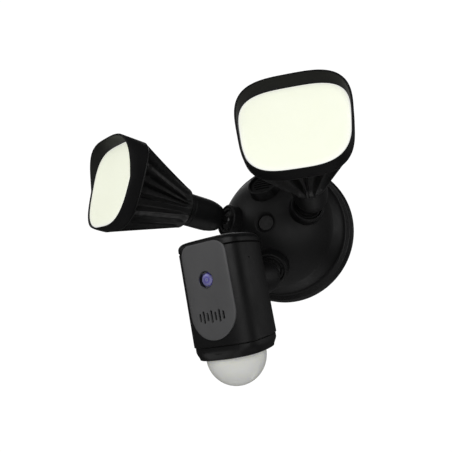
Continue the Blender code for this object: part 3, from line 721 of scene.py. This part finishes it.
def heat_sink(tag, place):
    """Finned housing that flares from a round collar to the lens's outline, hollow inside."""
    angles = even_angles(RIBS * RIB_POINTS)
    rings = [
        round_ring(angles, COLLAR_BORE, COLLAR_END),
        round_ring(angles, 13.6, COLLAR_END),
        round_ring(angles, 14.4, 30.8),
        rib_ring(angles, 32.6, 0.0),
        rib_ring(angles, 33.4, 0.0),
    ]
    steps = 16
    for k in range(steps + 1):
        t = k / steps
        height = RIB_START + (RIB_STOP - RIB_START) * t
        ease = min(1.0, t * 8) * (1.0 if t < 0.97 else 0.9)
        rings.append(rib_ring(angles, height, (GROOVE_START + GROOVE_GROWTH * t) * ease))
    rings += [
        rib_ring(angles, 86.9, 0.6),
        rib_ring(angles, 87.1, 0.0),
        lens_ring(angles, RIM, 87.7),
        lens_ring(angles, RIM - 0.3, SINK_END),
        lens_ring(angles, INNER_EDGE, SINK_END),
        lens_ring(angles, INNER_EDGE, INNER_FLOOR),
        round_ring(angles, 4.0, INNER_FLOOR),
        round_ring(angles, 4.0, SINK_SKIN_BACK),
        lens_ring(angles, -9.2, SINK_SKIN_BACK, 0.8),
        round_ring(angles, 11.2, HOLLOW_START),
        round_ring(angles, COLLAR_BORE, HOLLOW_START),
    ]
    piece(tag + "_fins", skinned(rings), place, HEAD_BODY[tag], "black_metal",
          [tag + "_heat_sink"], 40.0)


def visor(tag, place):
    """The band round the lens, which grows into a visor at the top."""
    angles = even_angles(216)
    sections = []
    for angle in angles:
        up = (lens_point(angle, 0.0)[1] - LENS_RISE) / (2 * LENS_HIGH) + 0.5
        up = min(1.0, max(0.0, up))
        shoulder = LENS_FACE + VISOR_TOP * up**2 - RIM_BACKSET * (1 - up)
        front = max(LENS_FACE, shoulder) + 0.3
        lip = max(shoulder, SINK_END + 1.2)
        sections.append([
            (-3.0, 93.2),
            (0.25, 93.2),
            (0.25, front - 0.25),
            (0.45, front),
            (RIM * 0.62, front),
            (RIM * 0.88, (front * 2 + lip) / 3 - 0.1),
            (RIM, lip - 0.3),
            (RIM, SINK_END + 0.9),
            (RIM - 0.25, SINK_END + 0.3),
            (-3.0, SINK_END + 0.3),
        ])
    rings = []
    for k in range(len(sections[0])):
        ring = []
        for angle, section in zip(angles, sections):
            grow, height = section[k]
            x, y = lens_point(angle, grow)
            ring.append((x * MM, y * MM, height * MM))
        rings.append(ring)
    band = piece(tag + "_visor", skinned(rings), place, HEAD_BODY[tag], "visor_black",
                 [tag + "_bezel"], 38.0)


def lamp_lens(tag, place):
    """Lightly crowned frosted lens with a rolled edge."""
    angles = even_angles(192)
    rings = [lens_ring(angles, -0.1, LENS_BACK), lens_ring(angles, -0.1, LENS_FACE - 1.5)]
    edge = [1.0, 1.0]
    for grow, height in ((-0.25, -0.9), (-0.7, -0.5), (-1.3, -0.32)):
        rings.append(lens_ring(angles, grow, LENS_FACE + height))
        edge.append(1.0 if grow > -1.0 else 0.35)
    flat = lens_ring(angles, -1.3, 0.0)
    middle = LENS_RISE * MM
    for share in (0.9, 0.75, 0.55, 0.32, 0.1):
        height = (LENS_FACE - 0.3 + 0.1 * (1 - share**2)) * MM
        rings.append([(x * share, middle + (y - middle) * share, height) for x, y, _ in flat])
        edge.append(0.0)
    bm = skinned(rings, loop=False)
    layer = bm.verts.layers.float.new("edge")
    bm.verts.ensure_lookup_table()
    for i, vert in enumerate(bm.verts):
        vert[layer] = edge[i // len(angles)]
    piece(tag + "_diffuser", bm, place, HEAD_BODY[tag], "diffuser", [tag + "_lens"], 50.0)


def lamp(tag):
    place = aim_of(tag) @ LIE_BACK
    heat_sink(tag, place)
    visor(tag, place)
    lamp_lens(tag, place)


# ---------------------------------------------------------------- camera body

BODY_SIDE = 25.2
BODY_FRONT = 21.1
BODY_REAR = 33.0
BODY_POWER = 3.6
REAR_POWER = 2.2
TOP_SEAM = 6.0
BOTTOM_SEAM = 70.3
BODY_HEIGHT = 78.8
BODY_POINTS = 200
PLATE_SIDE = 17.8
PLATE_TOP = -2.1
PLATE_BOTTOM = -66.3
PLATE_CORNER = 8.0
PLATE_FOOT = 18.9
LENS_DOWN = -26.8
SPEAKER_DOWN = -50.8
SLOT_PITCH = 3.05
LONG_SLOT = 4.1
SHORT_SLOT = 2.8
SLOT_RADIUS = 0.8
SENSOR_DOME = 20.7
SENSOR_Y = -0.2
SENSOR_RIM = -75.4
SENSOR_WAIST = -79.2
SENSOR_SKIN = 1.5
LID_TOP = -3.6
LID_EDGE = 5.0
LID_CROWN = 4.4
FOOT_PLAN = {"front": 22.6, "rear": 31.0, "side": 23.4, "boxy": 2.5}
FOOT_WAIST = -73.4


def plan_point(angle, grow, side=BODY_SIDE, front=BODY_FRONT, rear=BODY_REAR, boxy=BODY_POWER):
    """A point on the body's plan: boxy at the front (-Y), rounder at the rear."""
    x = (side + grow) * power(cos(angle), boxy)
    if sin(angle) < 0:
        return x, (front + grow) * power(sin(angle), boxy)
    return x, (rear + grow) * power(sin(angle), REAR_POWER)


BODY_ANGLES = evenly(lambda angle: plan_point(angle, 0.0), BODY_POINTS)


def plan_ring(grow, height, **sizes):
    """Ring on the body's plan."""
    ring = [plan_point(a, grow, **sizes) for a in BODY_ANGLES]
    return [(x * MM, y * MM, height * MM) for x, y in ring]


def front_depth(x, grow):
    """How far forward the body's front is, at a distance from its middle."""
    share = min(1.0, abs(x) / (BODY_SIDE + grow))
    return -(BODY_FRONT + grow) * (1 - share**BODY_POWER) ** (1 / BODY_POWER)


def plate_outline(grow, steps=20):
    """The face plate's outline: rounded corners at the top, a half ellipse at the foot."""
    half = PLATE_SIDE + grow
    top = PLATE_TOP + grow
    foot = PLATE_BOTTOM + PLATE_FOOT
    foot_high = PLATE_FOOT + grow
    corner = [pi / 2 * i / steps for i in range(steps + 1)]
    right = []
    for i in range(16):
        right.append((half, foot + (top - PLATE_CORNER - foot) * i / 16))
    for a in corner:
        right.append((half - PLATE_CORNER * (1 - cos(a)), top - PLATE_CORNER * (1 - sin(a))))
    top_run = []
    for i in range(1, 8):
        top_run.append(((half - PLATE_CORNER) * (1 - 2 * i / 8), top))
    left = [(-x, z) for x, z in reversed(right)]
    turn = [pi * i / (3 * steps) for i in range(1, 3 * steps)]
    base = [(-half * cos(a), foot - foot_high * sin(a)) for a in turn]
    return right + top_run + left + base


def plate_solid(grow, back, front):
    """Pushes the plate's outline along Y, as a cutter."""
    rings = []
    for depth in (back, front):
        rings.append([(x * MM, depth * MM, z * MM) for x, z in plate_outline(grow)])
    return skinned(rings, loop=False)


def pocket(place):
    """What is cut from the body's front for the face plate, to a depth of 1.1 mm."""
    cut = guide(plate_solid(0.3, -30.0, -10.0), place)
    rings = [plan_ring(-1.1, -90.0), plan_ring(-1.1, 10.0)]
    return carve(cut, [guide(skinned(rings, loop=False), place)])


def camera_case(place, lie):
    """The body's hollow shell, with a collar at the back and openings in front and in its side."""
    heights = [-BOTTOM_SEAM + (BOTTOM_SEAM - TOP_SEAM - 0.3) * i / 40 for i in range(41)]
    rings = [plan_ring(-3.2, heights[0]), plan_ring(-0.35, heights[0])]
    rings.append(plan_ring(0.0, heights[0] + 0.35))
    rings += [plan_ring(0.0, height) for height in heights[1:-1]]
    rings.append(plan_ring(0.0, heights[-1] - 0.5))
    rings += [plan_ring(-0.5, heights[-1]), plan_ring(-3.2, heights[-1])]
    shell = guide(skinned(rings, loop=False), place)
    collar = [(0, 30.3, 0), (13.5, 30.3, 0.7), (13.5, 44.0, 0), (0, 44.0, 0)]
    carve(shell, [guide(spun(rounded(collar), 96, False), lie)], "UNION")
    cavity = skinned([plan_ring(-2.4, -80.0), plan_ring(-2.4, 5.0)], loop=False)
    bore = [(0, 28.0, 0), (7.2, 28.0, 0), (7.2, 33.9, 0), (10.4, 33.9, 0)]
    bore += [(10.4, 46.0, 0), (0, 46.0, 0)]
    lens = [(0, 10, 0), (6.4, 10, 0), (6.4, 30, 0), (0, 30, 0)]
    opening = (22 * MM, 20 * MM, 9.4 * MM)
    sound = [(0, 20, 0), (0.7, 20, 0), (0.7, 28, 0), (0, 28, 0)]
    at_lens = place @ Matrix.Translation((0, 0, LENS_DOWN * MM)) @ LIE_BACK
    sound_at = Matrix.Translation((0, -3.1 * MM, -16.9 * MM))
    at_sound = place @ sound_at @ Matrix.Rotation(pi / 2, 4, "Y")
    carve(shell, [
        guide(cavity, place),
        guide(spun(rounded(bore), 64, False), lie),
        pocket(place),
        guide(spun(rounded(lens), 64, False), at_lens),
        guide(box_solid(opening, (0, -20 * MM, SPEAKER_DOWN * MM)), place),
        guide(spun(rounded(sound), 24, False), at_sound),
    ])
    shell.name = "camera_case"
    dress(shell, "camera", "black_plastic", ["camera_shell"], 30.0)


def plate_inset(share, grow, proud):
    """The plate's outline drawn in towards its spine, on the body's curved front."""
    high = PLATE_TOP - 12.0
    low = PLATE_BOTTOM + PLATE_FOOT
    ring = []
    for x, z in plate_outline(grow):
        spine = min(high, max(low, z))
        u, v = x * share, spine + (z - spine) * share
        ring.append((u * MM, front_depth(u, proud) * MM, v * MM))
    return ring


def face_plate(place):
    """Satin plate that follows the body's front, with a lens hole and sound slots."""
    shares = (0.0, 0.2, 0.36, 0.52, 0.68, 0.82, 0.93, 1.0)
    rings = [plate_inset(share, 0.0, -0.8) for share in shares]
    for grow, proud in ((0.0, 0.1), (-0.1, 0.33), (-0.35, 0.45)):
        rings.append(plate_inset(1.0, grow, proud))
    rings += [plate_inset(share, -0.35, 0.45) for share in reversed(shares[:-1])]
    plate = guide(skinned(rings, loop=False, capped=False), place)
    at_lens = place @ Matrix.Translation((0, 0, LENS_DOWN * MM)) @ LIE_BACK
    hole = [(0, 10, 0), (5.6, 10, 0), (5.6, 21.15, 0), (6.3, 22.0, 0), (6.3, 30, 0), (0, 30, 0)]
    cuts = [guide(spun(rounded(hole), 64, False), at_lens)]
    for i in range(-3, 4):
        half = LONG_SLOT if i % 2 == 0 else SHORT_SLOT
        cuts.append(guide(slot_solid(i * SLOT_PITCH, half), place))
    carve(plate, cuts)
    plate.name = "face_plate"
    dress(plate, "camera", "grey_plate", ["front_plate"], 30.0)


def slot_solid(x, half):
    """An upright slot with round ends, as a cutter along Y."""
    points = []
    for side, start in ((1, 0.0), (-1, pi)):
        centre = SPEAKER_DOWN + side * (half - SLOT_RADIUS)
        for k in range(9):
            a = start + pi * k / 8
            points.append((x + SLOT_RADIUS * cos(a), centre + SLOT_RADIUS * sin(a)))
    rings = [[(u * MM, depth * MM, v * MM) for u, v in points] for depth in (-30.0, -10.0)]
    return skinned(rings, loop=False)


def top_lid(place):
    """Lid with a rounded edge over a fine seam."""
    lid = [
        plan_ring(-5.0, -2.4),
        plan_ring(-5.0, -9.0),
        plan_ring(-2.8, -9.0),
        plan_ring(-2.8, -TOP_SEAM),
        plan_ring(-0.6, -TOP_SEAM),
        plan_ring(0.0, -TOP_SEAM + 0.55),
        plan_ring(0.0, -4.5),
        plan_ring(0.0, LID_TOP),
    ]
    for k in range(1, 13):
        a = pi / 2 * k / 12
        lid.append(plan_ring(-LID_EDGE * (1 - cos(a)), LID_CROWN * sin(a) + LID_TOP))
    cap = guide(skinned(lid, loop=False), place)
    carve(cap, [pocket(place)])
    cap.name = "lid"
    dress(cap, "camera", "black_plastic", ["top_cap"], 30.0)


def foot_cap(place):
    """Foot that narrows to its own plan, with a round hole for the sensor's dome."""
    reach = SENSOR_DOME + 0.3
    hole = []
    lip = []
    for a in BODY_ANGLES:
        x, y = plan_point(a, 0.0)
        turn = atan2(y, x)
        hole.append((reach * cos(turn), reach * sin(turn) + SENSOR_Y))
        lip.append(((reach + 0.35) * cos(turn), (reach + 0.35) * sin(turn) + SENSOR_Y))
    cup = [
        [(x * MM, y * MM, (-BODY_HEIGHT + 0.3) * MM) for x, y in hole],
        [(x * MM, y * MM, -BODY_HEIGHT * MM) for x, y in lip],
        plan_ring(-0.6, -BODY_HEIGHT, **FOOT_PLAN),
    ]
    low = -BODY_HEIGHT
    for k in range(9):
        t = k / 8
        height = low + 0.25 + (FOOT_WAIST - low - 0.25) * t
        ease = t * t * (3 - 2 * t)
        wide = plan_ring(-0.7, height)
        narrow = plan_ring(0.0, height, **FOOT_PLAN)
        blend = 0.35 * t + 0.65 * ease
        pairs = zip(wide, narrow)
        cup.append([tuple(Vector(a) * blend + Vector(b) * (1 - blend)) for a, b in pairs])
    cup += [
        plan_ring(-0.7, -72.0),
        plan_ring(-0.7, -BOTTOM_SEAM - 0.6),
        plan_ring(-1.0, -BOTTOM_SEAM - 0.3),
        plan_ring(-2.8, -BOTTOM_SEAM - 0.3),
        plan_ring(-2.8, -67.8),
        plan_ring(-4.4, -67.8),
        plan_ring(-4.4, -71.0),
        [(x * MM, y * MM, -75.0 * MM) for x, y in hole],
    ]
    piece("foot_cap", skinned(cup), place, "camera", "black_plastic", ["bottom_cap"], 30.0)


def sensor_cover(place):
    """Thin half ball below a short straight rim."""
    at = place @ Matrix.Translation((0, SENSOR_Y * MM, 0))
    outer = [(SENSOR_DOME, SENSOR_RIM, 0)]
    turns = [pi / 2 * i / 26 for i in range(27)]
    outer += [(SENSOR_DOME * cos(a), SENSOR_WAIST - SENSOR_DOME * sin(a), 0) for a in turns]
    inside = SENSOR_DOME - SENSOR_SKIN
    inner = [(inside * cos(a), SENSOR_WAIST - inside * sin(a), 0) for a in reversed(turns)]
    points = [(x if x > 1e-6 else 0.0, z, 0) for x, z, _ in outer + inner]
    profile = rounded(points + [(inside, SENSOR_RIM, 0)])
    piece("sensor_cover", spun(profile, 112), at, "camera", "milky_plastic", ["sensor_dome"], 40.0)


def camera_lens(place):
    """Front glass over a stepped barrel, with its coated front element, whose reflections are painted into its
    colour.
    """
    at = place @ Matrix.Translation((0, 0, LENS_DOWN * MM)) @ LIE_BACK
    glass = [(0, 20.15, 0), (5.2, 20.15, 0.1), (5.2, 21.0, 0.25), (0, 21.3, 0)]
    piece("front_glass", spun(rounded(glass), 64, False), at, "camera", "lens_glass",
          ["lens_window"])
    barrel = [(0, 9.2, 0), (5.8, 9.2, 0.3), (5.8, 19.7, 0.2), (5.5, 19.7, 0.1), (5.3, 19.2, 0.1)]
    barrel += [(5.1, 19.2, 0.1), (4.9, 18.6, 0.1), (4.8, 18.6, 0.1), (4.6, 18.0, 0.1), (0, 18.0, 0)]
    piece("barrel", spun(rounded(barrel, 3), 64, False), at, "camera", "dark_component",
          ["lens_barrel"])
    way = (place.to_3x3() @ Vector((0, -1, 0))).normalized()
    LOOKS["lens_coating_reflections"] = element_look(at.translation, way)
    element = [(0, 18.1, 0), (4.5, 18.1, 0)]
    for i in range(10):
        a = pi / 2 * i / 10
        element.append((4.5 * cos(a), 18.7 + 1.2 * sin(a), 0))
    element.append((0, 19.9, 0))
    obj = piece("front_element", spun(rounded(element), 64, False), at, "camera", "lens_coating_reflections")


wall_base()
centre_plug()
siren_grille()
for tag in HEADS:
    ball_joint(tag)
    neck(tag)
for tag in ("right", "left"):
    lamp(tag)
BODY_PLACE = aim_of("camera") @ Matrix.Translation((0, -BODY_AHEAD, BODY_ABOVE))
camera_case(BODY_PLACE, aim_of("camera") @ LIE_BACK)
face_plate(BODY_PLACE)
top_lid(BODY_PLACE)
foot_cap(BODY_PLACE)
sensor_cover(BODY_PLACE)
camera_lens(BODY_PLACE)

# ---------------------------------------------------------------- floor, light and camera


def plain_material(name, colour, glow_colour, glow):
    """Matt colour with a glow of its own."""
    material = bpy.data.materials.new(name)
    material.use_nodes = True
    shader = material.node_tree.nodes["Principled BSDF"]
    shader.inputs["Base Color"].default_value = (*colour, 1.0)
    shader.inputs["Roughness"].default_value = 0.9
    shader.inputs["Emission Color"].default_value = (*glow_colour, 1.0)
    shader.inputs["Emission Strength"].default_value = glow
    return material


def studio():
    """Pale floor well below the object, and a white surround that only the camera sees."""
    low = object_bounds()[0][2]
    bm = bmesh.new()
    bmesh.ops.create_circle(bm, cap_ends=True, segments=96, radius=1.0)
    bmesh.ops.translate(bm, verts=bm.verts, vec=(0, 0, low - 0.8))
    mesh = mesh_of("floor", bm)
    mesh.materials.append(plain_material("floor", (0.9, 0.9, 0.9), (0.9, 0.9, 0.9), 0.08))
    link("floor", mesh)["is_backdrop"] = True
    bm = bmesh.new()
    bmesh.ops.create_icosphere(bm, subdivisions=4, radius=8.0)
    mesh = mesh_of("surround", bm)
    mesh.materials.append(plain_material("surround", (0.0, 0.0, 0.0), (1.0, 1.0, 1.0), 1.05))
    shader = mesh.materials[0].node_tree.nodes["Principled BSDF"]
    shader.inputs["Specular IOR Level"].default_value = 0.0
    surround = link("surround", mesh)
    surround.visible_diffuse = False
    surround.visible_glossy = False
    surround.visible_transmission = False
    surround.visible_shadow = False
    surround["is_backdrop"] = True


def softbox(name, place, target, size, watts):
    """Square area light turned to a target."""
    light = bpy.data.lights.new(name, "AREA")
    light.shape = "SQUARE"
    light.size = size
    light.energy = watts
    obj = link(name, light)
    aim = (Vector(target) - Vector(place)).to_track_quat("-Z", "Y")
    obj.matrix_world = Matrix.Translation(place) @ aim.to_matrix().to_4x4()


def lights():
    """Dim white world, a large frontal key and fill, and weak lights from the side and behind."""
    world = bpy.data.worlds.new("studio")
    world.use_nodes = True
    background = world.node_tree.nodes["Background"]
    background.inputs["Color"].default_value = (1.0, 1.0, 1.0, 1.0)
    background.inputs["Strength"].default_value = 0.06
    bpy.context.scene.world = world
    middle = (0.0, -0.07, 0.0)
    softbox("key", (0.5, -1.1, 0.25), middle, 1.1, 7.6)
    softbox("fill", (-1.0, -0.8, 0.5), middle, 1.0, 3.4)
    softbox("side", (1.1, 0.6, 0.15), middle, 0.8, 1.2)
    softbox("low_back", (0.2, 0.5, -1.0), middle, 0.5, 1.2)
    softbox("back", (-0.6, 0.8, 0.7), middle, 0.9, 2.2)


def camera():
    """View from below and to the right, with a small shift to frame it as a photographer would."""
    azimuth, height, roll = radians(22.8), radians(-15.1), radians(-4.2)
    distance = 0.42995
    target = Vector((-0.01938, -0.060, 0.0134))
    right = Vector((cos(azimuth), sin(azimuth), 0.0))
    back = Vector((sin(azimuth) * cos(height), -cos(azimuth) * cos(height), sin(height)))
    up = back.cross(right)
    right, up = cos(roll) * right + sin(roll) * up, -sin(roll) * right + cos(roll) * up
    data = bpy.data.cameras.new("camera")
    data.sensor_width = 36.0
    data.lens = 40.36
    data.shift_x = -0.0289
    data.shift_y = -0.0376
    data.clip_start = 0.01
    obj = link("camera", data)
    turn = Matrix((right, up, back)).transposed().to_4x4()
    obj.matrix_world = Matrix.Translation(target + back * distance) @ turn
    bpy.context.scene.camera = obj


studio()
lights()
camera()
bpy.context.scene.view_settings.view_transform = "Standard"
